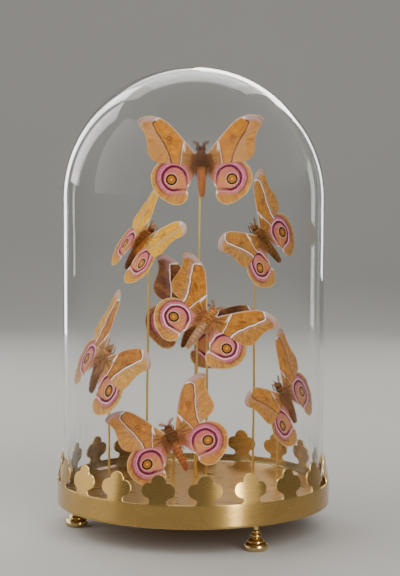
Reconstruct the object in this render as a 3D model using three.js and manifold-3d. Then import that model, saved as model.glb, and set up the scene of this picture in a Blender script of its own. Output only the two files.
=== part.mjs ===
// Eight large moths mounted on brass rods under a glass dome, on a round brass base with a gallery rim.
// Millimetres, +Z up. The origin is on the floor, on the axis of the dome. The front of the case faces -Y.
import * as THREE from "three";
import { mergeVertices } from "three/addons/utils/BufferGeometryUtils.js";
import Module from "manifold-3d";

const wasm = await Module();
wasm.setup();

const GAP = 0.3; // clearance between neighbouring sub-parts

// Brass base: a band stands on three feet, and a plate lies inside it as a shallow tray
const FOOT_HEIGHT = 26; // floor to the lower edge of the band
const FOOT_SEGMENTS = 10;
const FOOT_RING = 112; // radius of the circle that the feet stand on
const FOOT_ANGLES = { front: 30.5, left: -89.5, back: 150.5 }; // degrees from the front, towards +X
const BAND_RADIUS = 130;
const BAND_HEIGHT = 20.8;
const BAND_SHEET = 1.7;
const BAND_SEGMENTS = 76;
const PLATE_RECESS = 6; // upper edge of the band down to the top of the plate
const PLATE_THICKNESS = 3;
const PLATE_SEGMENTS = 48;

// Gallery of club-shaped tabs that grow from the upper edge of the band and lean in to the glass
const TAB_COUNT = 19;
const TAB_FIRST_ANGLE = -14.03; // degrees from the front, towards +X
const TAB_SHEET = 1.2;
const TAB_HEIGHT = 26.3;
const TAB_LEAN = 4.1; // how far a tip stands in from its foot
const TAB_ROOT = 2; // depth of a tab's foot inside the band
const TAB_NECK = 7.3; // half-width of the neck
const TAB_FILLET = 3.48; // runs from the band round the neck, and touches the side lobe
const TAB_TOP = { x: 0, y: 19.7, r: 6.6 };
const TAB_SIDE = { x: 9, y: 13, r: 6.2 };
const TAB_FILLET_STEPS = 3;
const TAB_SIDE_STEPS = 4;
const TAB_TOP_STEPS = 3;

// Glass dome
const DOME_RADIUS = 123.8;
const DOME_WALL = 3;
const DOME_HEIGHT = 397.6; // rim to crown
const DOME_SEGMENTS = 40;
const DOME_ARC_STEPS = 7;

// Rods
const ROD_RADIUS = 1.1;
const ROD_SIDES = 6;
const ROD_REACH = -2.5; // end of a rod, from the wing roots towards the head

// Moth, in its own frame: +X its right wing, +Y the head, +Z the back; the origin is between the wing roots
const WING_ROOT = 3.5;
const WING_THICKNESS = 0.8;
const THORAX_RADIUS = 5;
const BODY_SEGMENTS = 8;
const WAIST = -9; // from here back the abdomen bends down
const FORE_WING = [
  [3.3, 0],
  [31.3, 32.3],
  [38.1, 36.6],
  [44.1, 38.5],
  [50.8, 38.8],
  [56.5, 37.3],
  [59.6, 34.1],
  [54.1, 24.2],
  [52.2, 19],
  [50.6, 5.7],
  [48.6, 0],
  [45.1, -3.4],
  [39.8, -5.5],
  [17.1, -7.6],
  [3.3, -4.7],
];
const HIND_WING = [
  [3.3, -3.8],
  [13.3, -1.9],
  [38, -4.3],
  [43.2, -8.1],
  [46.8, -13.3],
  [48.2, -19.4],
  [47.4, -25.6],
  [44.6, -32.3],
  [39.4, -38.4],
  [32.3, -43.1],
  [25.1, -45.7],
  [18.5, -44.4],
  [13.1, -35.6],
  [13.9, -30.4],
  [3.3, -8.5],
];
// Body outline as [place along +Y, radius], from the tail to the crown of the head
const BODY_PROFILE = [
  [-37.5, 0],
  [-33, 2.2],
  [-20, 3.4],
  [-11.5, 3.2],
  [-8, 4.2],
  [-3, THORAX_RADIUS],
  [2.5, 4.5],
  [5, 2.7],
  [6.5, 2.9],
  [9, 2.2],
  [10, 0],
];
const ANTENNA = [
  [0.6, 8.4],
  [2.1, 7.4],
  [6.2, 10.2],
  [7.6, 14],
  [4.2, 12.8],
];
const ANTENNA_THICKNESS = 0.7;
const LEG_SECTION = 1.1;
// Each leg as [length, place of its middle x, y, z, splay in degrees], folded under the body
const LEGS = [
  [9, 3, 7.5, -3.2, -28],
  [11, 4.6, -9.5, -4.2, 24],
];

// Poses. at: the wing roots' middle, measured from the band's lower edge. turn: about the vertical, + faces +X.
// tilt: + leans the back of the moth down. spin: in the plane of the wings, + lowers the left wing.
// lift, fore, hind: how far the [left, right] wings rise, and their fore and hind wings sweep forward.
// droop: bend of the abdomen. foot: where the rod stands on the plate. Angles in degrees.
const MOTHS = {
  top: {
    at: [6.9, -1, 328.4],
    turn: 3,
    tilt: -4,
    spin: 1,
    size: 1,
    lift: [5, 5],
    fore: [0, 0],
    hind: [0, 0],
    droop: 2,
    foot: [1, 3],
  },
  upper_left: {
    at: [-45.1, 0, 253.5],
    turn: -58,
    tilt: -32,
    spin: -24,
    size: 0.99,
    lift: [-5, 1],
    fore: [-2, -1],
    hind: [-3, 5],
    droop: 11,
    foot: [-45.5, 0],
  },
  upper_right: {
    at: [62.8, 20, 254.7],
    turn: 50,
    tilt: -16,
    spin: 39,
    size: 0.98,
    lift: [0, 3],
    fore: [-2, 0],
    hind: [5, -3],
    droop: 0,
    foot: [58, 22],
  },
  centre: {
    at: [15.3, -24, 179.5],
    turn: 13,
    tilt: -22,
    spin: -39,
    size: 0.97,
    lift: [-4, 2],
    fore: [5, -1],
    hind: [-2, 8],
    droop: 12,
    foot: [12.6, -20],
  },
  behind: {
    at: [4.1, 36, 175.5],
    turn: 21,
    tilt: -24,
    spin: -33,
    size: 1.03,
    lift: [-3, -1],
    fore: [1, -3],
    hind: [-10, -6],
    droop: 0,
    foot: [3.3, 39],
  },
  left: {
    at: [-83.4, -24, 141.9],
    turn: -58,
    tilt: -22,
    spin: -29,
    size: 1.08,
    lift: [-8, -7],
    fore: [3, -1],
    hind: [-1, 15],
    droop: 18,
    foot: [-79.5, -20],
  },
  right: {
    at: [83.5, -22, 107.8],
    turn: 54,
    tilt: -18,
    spin: 33,
    size: 0.975,
    lift: [2, -2],
    fore: [-1, 0],
    hind: [8, -3],
    droop: 15,
    foot: [79.5, -17],
  },
  front: {
    at: [-20.2, -56, 72.5],
    turn: -16,
    tilt: -28,
    spin: 30,
    size: 0.98,
    lift: [1, -5],
    fore: [10, 11],
    hind: [9, 2],
    droop: 5,
    foot: [-18, -51.5],
  },
};

const BRASS = { color: 0xb08d4a, roughness: 0.3, metalness: 1 };
const ROD_BRASS = { color: 0xbfa062, roughness: 0.35, metalness: 1 };
const GLASS = { color: 0xeef4f2, roughness: 0.03, metalness: 0, transparent: true, opacity: 0.18 };
const MOTH_SCALES = { color: 0xc48a4c, roughness: 0.85, metalness: 0 };

const bandTop = FOOT_HEIGHT + BAND_HEIGHT;
const plateTop = bandTop - PLATE_RECESS;
const plateUnderside = plateTop - PLATE_THICKNESS;

const radians = THREE.MathUtils.degToRad;

// A closed mesh geometry as a manifold solid.
function solid(geometry) {
  const bare = geometry.clone();
  bare.deleteAttribute("normal");
  bare.deleteAttribute("uv");
  const merged = mergeVertices(bare, 1e-4);
  const mesh = new wasm.Mesh({
    numProp: 3,
    vertProperties: merged.attributes.position.array,
    triVerts: new Uint32Array(merged.index.array),
  });
  return new wasm.Manifold(mesh);
}

// The union of several closed geometries, as one geometry.
function joined(geometries) {
  const whole = geometries.map(solid).reduce((sum, next) => sum.add(next));
  const mesh = whole.getMesh();
  const geometry = new THREE.BufferGeometry();
  geometry.setAttribute("position", new THREE.BufferAttribute(mesh.vertProperties, 3));
  geometry.setIndex(new THREE.BufferAttribute(mesh.triVerts, 1));
  geometry.computeVertexNormals();
  return geometry;
}

// A solid of revolution about +Z from [radius, height] pairs that run from the axis or from the lower inside.
function turned(profile, segments) {
  const points = profile.map(([radius, height]) => new THREE.Vector2(radius, height));
  return new THREE.LatheGeometry(points, segments).rotateX(Math.PI / 2);
}

function sheet(points, thickness) {
  const shape = new THREE.Shape(points.map(([x, y]) => new THREE.Vector2(x, y)));
  return new THREE.ExtrudeGeometry(shape, { depth: thickness, bevelEnabled: false });
}

// Moves every vertex of a geometry to move(x, y, z), a [x, y, z].
function bent(geometry, move) {
  const position = geometry.attributes.position;
  for (let i = 0; i < position.count; i++) {
    position.setXYZ(i, ...move(position.getX(i), position.getY(i), position.getZ(i)));
  }
  return geometry;
}

function named(name, geometry, look) {
  const mesh = new THREE.Mesh(geometry, new THREE.MeshStandardMaterial(look));
  mesh.name = name;
  return mesh;
}

function arc({ x, y, r }, from, to, steps) {
  const point = (i) => from + ((to - from) * i) / steps;
  return Array.from({ length: steps + 1 }, (_, i) => [
    x + r * Math.cos(radians(point(i))),
    y + r * Math.sin(radians(point(i))),
  ]);
}

function glassDome() {
  const rim = plateTop + GAP;
  const centre = rim + DOME_HEIGHT - DOME_RADIUS;
  const shell = (radius) => arc({ x: 0, y: centre, r: radius }, 0, 90, DOME_ARC_STEPS);
  const inner = shell(DOME_RADIUS - DOME_WALL);
  const outer = shell(DOME_RADIUS);
  inner[DOME_ARC_STEPS][0] = 0;
  outer[DOME_ARC_STEPS][0] = 0;
  const profile = [
    ...inner.reverse(),
    [DOME_RADIUS - DOME_WALL, rim],
    [DOME_RADIUS, rim],
    ...outer,
  ];
  return turned(profile, DOME_SEGMENTS);
}

// Half of a tab's outline, from the foot on the right to the crown.
function tabHalf() {
  const meet = Math.hypot(TAB_SIDE.x - TAB_TOP.x, TAB_SIDE.y - TAB_TOP.y);
  const towardsTop = Math.atan2(TAB_TOP.y - TAB_SIDE.y, TAB_TOP.x - TAB_SIDE.x);
  const along = (meet ** 2 + TAB_SIDE.r ** 2 - TAB_TOP.r ** 2) / (2 * meet);
  const sideEnd = THREE.MathUtils.radToDeg(towardsTop - Math.acos(along / TAB_SIDE.r));
  const topStart = 90 - THREE.MathUtils.radToDeg(
    Math.acos((TAB_SIDE.y + TAB_SIDE.r * Math.sin(radians(sideEnd)) - TAB_TOP.y) / TAB_TOP.r),
  );
  const fillet = { x: TAB_NECK + TAB_FILLET, y: TAB_FILLET, r: TAB_FILLET };
  const waist = THREE.MathUtils.radToDeg(Math.atan2(TAB_SIDE.y - fillet.y, TAB_SIDE.x - fillet.x));
  return [
    [TAB_NECK + TAB_FILLET, -TAB_ROOT],
    ...arc(fillet, 270, waist, TAB_FILLET_STEPS),
    ...arc(TAB_SIDE, waist - 180, sideEnd, TAB_SIDE_STEPS).slice(1),
    ...arc(TAB_TOP, topStart, 90, TAB_TOP_STEPS).slice(1),
  ];
}

function galleryBand() {
  const low = FOOT_HEIGHT;
  const inside = BAND_RADIUS - BAND_SHEET;
  const ring = turned(
    [
      [inside, low],
      [BAND_RADIUS, low],
      [BAND_RADIUS, bandTop],
      [inside, bandTop],
      [inside, low],
    ],
    BAND_SEGMENTS,
  );
  const half = tabHalf();
  const mirrored = half.slice(0, -1).map(([x, y]) => [-x, y]);
  const outline = [...half, ...mirrored.reverse()];
  const back = BAND_RADIUS - (BAND_SHEET + TAB_SHEET) / 2;
  const tabs = Array.from({ length: TAB_COUNT }, (_, k) => {
    const middle = radians(TAB_FIRST_ANGLE) + (2 * Math.PI * k) / TAB_COUNT;
    return bent(sheet(outline, TAB_SHEET), (x, y, z) => {
      const angle = middle + x / BAND_RADIUS;
      const radius = back + z - (TAB_LEAN * Math.max(y, 0)) / TAB_HEIGHT;
      return [radius * Math.sin(angle), -radius * Math.cos(angle), bandTop + y];
    });
  });
  return joined([ring, ...tabs]);
}

function basePlate() {
  const radius = BAND_RADIUS - BAND_SHEET - 2 * GAP;
  const profile = [
    [0, plateUnderside],
    [radius, plateUnderside],
    [radius, plateTop],
    [0, plateTop],
  ];
  return turned(profile, PLATE_SEGMENTS);
}

// A turned foot: a bun on the floor, a bead above it, and a stem up to its flange under the plate.
function footProfile() {
  const flangeTop = plateUnderside - GAP;
  return [
    [0, 0],
    [8.5, 0],
    [11, 3.8],
    [9.6, 7.2],
    [6.6, 9.6],
    [3.8, 11.4],
    [4.8, 13.8],
    [3, 15.6],
    [3.6, 17.4],
    [2.4, 19],
    [2.4, flangeTop - 2],
    [7, flangeTop - 1.6],
    [7, flangeTop],
    [0, flangeTop],
  ];
}

// One wing. side is 1 for the right wings and -1 for the left ones; base is the height of its lower face.
function wing(outline, side, base, lift, sweep) {
  const flat = sheet(outline.map(([x, y]) => [side * x, y]), WING_THICKNESS);
  return bent(flat, (x, y, z) => {
    const out = side * x - WING_ROOT;
    const reach = out * Math.cos(sweep) - y * Math.sin(sweep);
    const ahead = out * Math.sin(sweep) + y * Math.cos(sweep);
    return [side * (WING_ROOT + reach * Math.cos(lift)), ahead, base + z + reach * Math.sin(lift)];
  });
}

function body(droop) {
  const straight = new THREE.LatheGeometry(
    BODY_PROFILE.map(([along, radius]) => new THREE.Vector2(radius, along)),
    BODY_SEGMENTS,
  );
  return bent(straight, (x, y, z) => {
    const behind = Math.min(y - WAIST, 0);
    return [x, y, z + behind * Math.tan(droop)];
  });
}

function antenna(side) {
  const blade = sheet(ANTENNA.map(([x, y]) => [side * x, y]), ANTENNA_THICKNESS);
  return blade.translate(0, 0, -ANTENNA_THICKNESS / 2);
}

function leg([length, x, y, z, splay], side) {
  const bar = new THREE.BoxGeometry(LEG_SECTION, length, LEG_SECTION);
  return bar.rotateZ(side * radians(splay)).translate(side * x, y, z);
}

function moth({ lift, fore, hind, droop }) {
  const overlap = 0.1;
  const sides = [-1, 1].flatMap((side, i) => {
    const rise = radians(lift[i]);
    return [
      wing(FORE_WING, side, -overlap, rise, radians(fore[i])),
      wing(HIND_WING, side, overlap - WING_THICKNESS, rise, radians(hind[i])),
      antenna(side),
      ...LEGS.map((each) => leg(each, side)),
    ];
  });
  return joined([body(radians(droop)), ...sides]);
}

// A moth set in its pose, with the rod that carries it from the plate to the underside of its thorax.
function mounted(place, pose) {
  const creature = named("moth_" + place, moth(pose), MOTH_SCALES);
  creature.rotation.set(Math.PI / 2 + radians(pose.tilt), 0, radians(pose.spin));
  creature.scale.setScalar(pose.size);
  const stand = new THREE.Group();
  stand.position.set(pose.at[0], pose.at[1], pose.at[2] + FOOT_HEIGHT);
  stand.rotation.z = radians(pose.turn);
  stand.add(creature);
  stand.updateMatrixWorld(true);

  const under = -(THORAX_RADIUS + (GAP + ROD_RADIUS) / pose.size);
  const top = creature.localToWorld(new THREE.Vector3(0, ROD_REACH, under));
  const foot = new THREE.Vector3(pose.foot[0], pose.foot[1], plateTop + GAP);
  const run = top.clone().sub(foot);
  const bar = new THREE.CylinderGeometry(ROD_RADIUS, ROD_RADIUS, run.length(), ROD_SIDES);
  const rod = named("rod_" + place, bar, ROD_BRASS);
  rod.position.copy(foot).addScaledVector(run, 0.5);
  rod.quaternion.setFromUnitVectors(new THREE.Vector3(0, 1, 0), run.normalize());
  return [rod, stand];
}

const displayCase = new THREE.Group();
displayCase.add(named("glass_dome", glassDome(), GLASS));
displayCase.add(named("gallery_band", galleryBand(), BRASS));
displayCase.add(named("base_plate", basePlate(), BRASS));

for (const [place, angle] of Object.entries(FOOT_ANGLES)) {
  const foot = named("foot_" + place, turned(footProfile(), FOOT_SEGMENTS), BRASS);
  foot.position.set(FOOT_RING * Math.sin(radians(angle)), -FOOT_RING * Math.cos(radians(angle)), 0);
  displayCase.add(foot);
}

for (const [place, pose] of Object.entries(MOTHS)) {
  displayCase.add(...mounted(place, pose));
}

export default displayCase;
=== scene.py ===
"""Eight silk moths on brass rods under a glass dome, on a footed brass base with a gallery rim.

Lengths are in millimetres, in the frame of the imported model, and become metres when a mesh is made.
A moth has its own frame: +X its right wing, +Y the head, +Z the back.
"""
import logging
import math
from dataclasses import dataclass, field
from enum import Enum, IntEnum
from typing import Sequence

import bmesh
import bpy
import numpy as np
from mathutils import Matrix, Vector
from mathutils.geometry import delaunay_2d_cdt


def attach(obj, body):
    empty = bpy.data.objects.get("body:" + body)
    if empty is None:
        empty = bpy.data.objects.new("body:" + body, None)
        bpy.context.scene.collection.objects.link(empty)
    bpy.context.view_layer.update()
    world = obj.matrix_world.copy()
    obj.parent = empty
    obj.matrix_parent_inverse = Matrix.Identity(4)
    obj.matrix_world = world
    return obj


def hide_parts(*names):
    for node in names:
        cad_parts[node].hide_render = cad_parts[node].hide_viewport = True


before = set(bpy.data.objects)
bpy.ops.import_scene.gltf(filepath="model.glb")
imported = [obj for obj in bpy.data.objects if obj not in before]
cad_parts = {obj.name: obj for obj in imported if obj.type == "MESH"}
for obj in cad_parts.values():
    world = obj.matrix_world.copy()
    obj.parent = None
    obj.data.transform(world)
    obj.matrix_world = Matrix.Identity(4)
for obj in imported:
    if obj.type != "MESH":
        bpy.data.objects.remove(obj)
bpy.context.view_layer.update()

LOG = logging.getLogger("moth_dome")
MM = 0.001

Colour = tuple[float, float, float, float]
Points = np.ndarray
Material = bpy.types.Material
Materials = Sequence[Material]
Object = bpy.types.Object
Socket = bpy.types.NodeSocket
Input = Socket | Colour | float


def srgb(red: int, green: int, blue: int) -> Colour:
    """Turns a display colour into the linear one that shaders use.

    Args:
        red, green, blue: display values from 0 to 255.

    Returns:
        The linear colour with an alpha of 1.
    """
    linear = [
        (value / 255 / 12.92) if value < 11 else (((value / 255) + 0.055) / 1.055) ** 2.4
        for value in (red, green, blue)
    ]
    return (*linear, 1.0)


def deeper(colour: Colour, share: float) -> Colour:
    """Darkens a colour to a share of its strength."""
    return (colour[0] * share, colour[1] * share, colour[2] * share, 1.0)


# ---------------------------------------------------------------------------------------------
# Curves and fields
# ---------------------------------------------------------------------------------------------


def smooth_curve(points: Sequence[Sequence[float]], steps: int, closed: bool = False) -> Points:
    """Runs a Catmull-Rom curve through points.

    Args:
        points: what the curve passes through.
        steps: samples for each stretch between two points.
        closed: whether the curve comes back to its first point.

    Returns:
        The samples, without a repeated end on a closed curve.
    """
    known = np.asarray(points, dtype=float)
    if closed:
        padded = np.vstack([known[-1], known, known[:2]])
    else:
        padded = np.vstack([2 * known[0] - known[1], known, 2 * known[-1] - known[-2]])
    samples = []
    for before, start, end, after in zip(padded, padded[1:], padded[2:], padded[3:]):
        for share in np.arange(steps) / steps:
            samples.append(
                0.5
                * (
                    2 * start
                    + (end - before) * share
                    + (2 * before - 5 * start + 4 * end - after) * share**2
                    + (3 * start - before - 3 * end + after) * share**3
                )
            )
    if not closed:
        samples.append(known[-1])
    return np.array(samples)


def unit(vectors: Points) -> Points:
    """Scales each vector to a length of 1."""
    return vectors / np.linalg.norm(vectors, axis=1)[:, None]


def evenly(curve: Points, spacing: float, closed: bool = False) -> Points:
    """Resamples a curve at about equal distances.

    Args:
        curve: the curve's samples.
        spacing: distance between the new samples.
        closed: whether the curve comes back to its first sample.

    Returns:
        The new samples, without a repeated end on a closed curve.
    """
    line = np.vstack([curve, curve[:1]]) if closed else curve
    lengths = np.concatenate([[0], np.cumsum(np.linalg.norm(np.diff(line, axis=0), axis=1))])
    count = max(int(round(lengths[-1] / spacing)), 3)
    wanted = np.linspace(0, lengths[-1], count + 1)
    even = np.stack([np.interp(wanted, lengths, line[:, k]) for k in range(line.shape[1])], axis=1)
    return even[:-1] if closed else even


def signed_distance(points: Points, line: Points) -> np.ndarray:
    """Distance of points in a plane to an open line, positive on the left of its direction."""
    start, run = line[:-1], np.diff(line, axis=0)
    offset = points[:, None, :] - start[None]
    share = np.clip((offset * run).sum(-1) / (run * run).sum(-1), 0, 1)
    gap = offset - share[..., None] * run
    distance = np.linalg.norm(gap, axis=-1)
    nearest = distance.argmin(axis=1)
    rows = np.arange(len(points))
    cross = run[nearest, 0] * offset[rows, nearest, 1] - run[nearest, 1] * offset[rows, nearest, 0]
    return distance[rows, nearest] * np.where(cross >= 0, 1, -1)


def drop_distance(points: Points, middle: Points, radius: float, tip: Points) -> np.ndarray:
    """Signed distance to a drop, which is a circle drawn out to a pointed tip. Negative inside."""
    axis = tip - middle
    square = axis @ axis
    offset = points - middle
    across = np.abs(offset @ np.array([axis[1], -axis[0]])) / square
    along = offset @ axis / square
    slope = np.array([math.sqrt(square - radius**2), radius])
    turn = slope[0] * along - slope[1] * across
    near_circle = np.sqrt(square * (across**2 + along**2)) - radius
    near_tip = np.sqrt(square * (across**2 + (along - 1) ** 2))
    near_side = slope[0] * across + slope[1] * along - radius
    return np.where(turn < 0, near_circle, np.where(turn > slope[0], near_tip, near_side))


def inside(points: Points, outline: Points) -> np.ndarray:
    """Tells which points lie inside a closed outline."""
    start, end = outline, np.roll(outline, -1, axis=0)
    x, y = points[:, 0, None], points[:, 1, None]
    spans = (start[:, 1] > y) != (end[:, 1] > y)
    rise = np.where(end[:, 1] == start[:, 1], 1e-9, end[:, 1] - start[:, 1])
    crossing = (end[:, 0] - start[:, 0]) * (y - start[:, 1]) / rise + start[:, 0]
    return (spans & (x < crossing)).sum(axis=1) % 2 == 1


def filled(outline: Points, spacing: float) -> tuple[Points, np.ndarray]:
    """Fills a closed outline with an even net of triangles.

    Args:
        outline: corners of the outline, counterclockwise.
        spacing: distance between neighbouring points of the net.

    Returns:
        The points, the outline's own first, and the triangles.
    """
    low, high = outline.min(axis=0), outline.max(axis=0)
    rows = np.arange(low[1], high[1], spacing * math.sqrt(0.75))
    starts = [low[0] + (k % 2) * spacing / 2 for k in range(len(rows))]
    net = np.array([(x, y) for y, start in zip(rows, starts) for x in np.arange(start, high[0], spacing)])
    net = net[inside(net, outline)]
    ring = np.vstack([outline, outline[:1]])
    net = net[np.abs(signed_distance(net, ring)) > 0.55 * spacing]
    everything = [Vector(p) for p in np.vstack([outline, net])]
    loop = list(range(len(outline)))
    made, _, triangles, source, _, _ = delaunay_2d_cdt(everything, [], [loop], 1, 1e-6)
    points = np.array([tuple(p) for p in made])
    order = np.array([min(group) if group else len(everything) + k for k, group in enumerate(source)])
    ranks = order.argsort()
    place = np.empty_like(ranks)
    place[ranks] = np.arange(len(ranks))
    return points[ranks], place[np.array([tuple(face) for face in triangles])]


# ---------------------------------------------------------------------------------------------
# Surfaces
# ---------------------------------------------------------------------------------------------


@dataclass
class Surface:
    """A mesh in the making.

    Attributes:
        points: vertices in millimetres.
        faces: vertex numbers of each face.
        values: named numbers, or named vectors, one for each vertex.
        finish: number of the material for all its faces.
    """

    points: Points
    faces: list
    values: dict[str, np.ndarray] = field(default_factory=dict)
    finish: int = 0

    def moved(self, points: Points) -> "Surface":
        """Returns the same surface with its vertices somewhere else."""
        return Surface(points, self.faces, self.values, self.finish)

    def to_object(self, name: str, materials: Materials, crease: float = 40) -> Object:
        """Makes the Blender object of this surface alone."""
        return build_object(name, [self], materials, crease)


def build_object(
    name: str, surfaces: Sequence[Surface], materials: Materials, crease: float = 40
) -> Object:
    """Joins surfaces into one mesh object.

    Args:
        name: name of the object.
        surfaces: what it is made of.
        materials: its material slots, which Surface.finish counts in.
        crease: angle in degrees above which an edge is shown sharp.

    Returns:
        The object, linked to the scene.
    """
    faces, finishes, start = [], [], 0
    for surface in surfaces:
        faces += [tuple(int(i) + start for i in face) for face in surface.faces]
        finishes += [int(surface.finish)] * len(surface.faces)
        start += len(surface.points)
    mesh = bpy.data.meshes.new(name)
    mesh.from_pydata((np.vstack([s.points for s in surfaces]) * MM).tolist(), [], faces)
    mesh.polygons.foreach_set("use_smooth", [True] * len(faces))
    mesh.polygons.foreach_set("material_index", finishes)
    for key in sorted({key for surface in surfaces for key in surface.values}):
        sample = next(s.values[key] for s in surfaces if key in s.values)
        blank = np.zeros(sample.shape[1:])
        stack = [s.values.get(key, np.broadcast_to(blank, (len(s.points), *blank.shape))) for s in surfaces]
        kind, slot = ("FLOAT_VECTOR", "vector") if sample.ndim == 2 else ("FLOAT", "value")
        layer = mesh.attributes.new(key, kind, "POINT")
        layer.data.foreach_set(slot, np.concatenate(stack).astype(np.float32).ravel())
    for material in materials:
        mesh.materials.append(material)
    mesh.set_sharp_from_angle(angle=math.radians(crease))
    mesh.validate()
    mesh.update()
    made = bpy.data.objects.new(name, mesh)
    bpy.context.scene.collection.objects.link(made)
    return made


def revolved(profile: Points, segments: int) -> Surface:
    """Turns a profile about the Z axis.

    Args:
        profile: [radius, height] pairs that start and end on the axis.
        segments: sides of each ring.

    Returns:
        The closed surface, facing out where the profile runs upwards on its outer side.
    """
    angles = np.arange(segments) * 2 * np.pi / segments
    rings, points = [], []
    for radius, height in profile:
        if radius < 1e-6:
            rings.append([len(points)] * segments)
            points.append((0, 0, height))
        else:
            rings.append(list(range(len(points), len(points) + segments)))
            points += [(radius * math.cos(a), radius * math.sin(a), height) for a in angles]
    faces = []
    for low, high in zip(rings, rings[1:]):
        for k in range(segments):
            after = (k + 1) % segments
            corners = [low[k], low[after], high[after], high[k]]
            faces.append(tuple(dict.fromkeys(corners)))
    return Surface(np.array(points, dtype=float), faces)


def tube(path: Points, radii: Sequence[float], sides: int) -> Surface:
    """Sweeps a round section along a path, closed at both ends.

    Args:
        path: points that the tube follows.
        radii: radius at each point.
        sides: sides of the section.

    Returns:
        The closed surface.
    """
    heading = unit(np.gradient(path, axis=0))
    aside = unit(np.cross(heading, np.array([0.31, 0.17, 0.94])))
    above = np.cross(heading, aside)
    angles = np.arange(sides) * 2 * np.pi / sides
    rings = [
        centre + radius * (np.outer(np.cos(angles), right) + np.outer(np.sin(angles), up))
        for centre, radius, right, up in zip(path, radii, aside, above)
    ]
    faces = [tuple(reversed(range(sides))), tuple(range((len(path) - 1) * sides, len(path) * sides))]
    for row in range(len(path) - 1):
        for k in range(sides):
            after = (k + 1) % sides
            low, high = row * sides, (row + 1) * sides
            faces.append((low + k, low + after, high + after, high + k))
    return Surface(np.vstack(rings), faces)


def hairs(
    roots: Points, heading: Points, lengths: np.ndarray, width: float, sag: Points, tone: np.ndarray
) -> Surface:
    """Makes tapered hairs, each of two stretches on a three-cornered base.

    Args:
        roots: where each hair starts.
        heading: unit direction in which each hair leaves its root.
        lengths: length of each hair.
        width: radius at the root.
        sag: shift of each tip from the straight line.
        tone: value from 0 to 1 that colours each hair.

    Returns:
        One surface with every hair.
    """
    count = len(roots)
    aside = unit(np.cross(heading, np.array([0.23, 0.41, 0.88])))
    above = np.cross(heading, aside)
    middle = roots + heading * lengths[:, None] * 0.55 + sag * 0.3
    tips = roots + heading * lengths[:, None] + sag
    corner = [aside * math.cos(a) + above * math.sin(a) for a in (0, 2.0944, 4.18879)]
    points = np.stack(
        [roots + width * c for c in corner] + [middle + 0.65 * width * c for c in corner] + [tips], axis=1
    ).reshape(-1, 3)
    pattern = [(2, 1, 0), (0, 1, 4, 3), (1, 2, 5, 4), (2, 0, 3, 5), (3, 4, 6), (4, 5, 6), (5, 3, 6)]
    faces = [tuple(7 * k + i for i in face) for k in range(count) for face in pattern]
    return Surface(points, faces, {"tone": np.repeat(tone, 7)})


# ---------------------------------------------------------------------------------------------
# Finishes
# ---------------------------------------------------------------------------------------------


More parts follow.
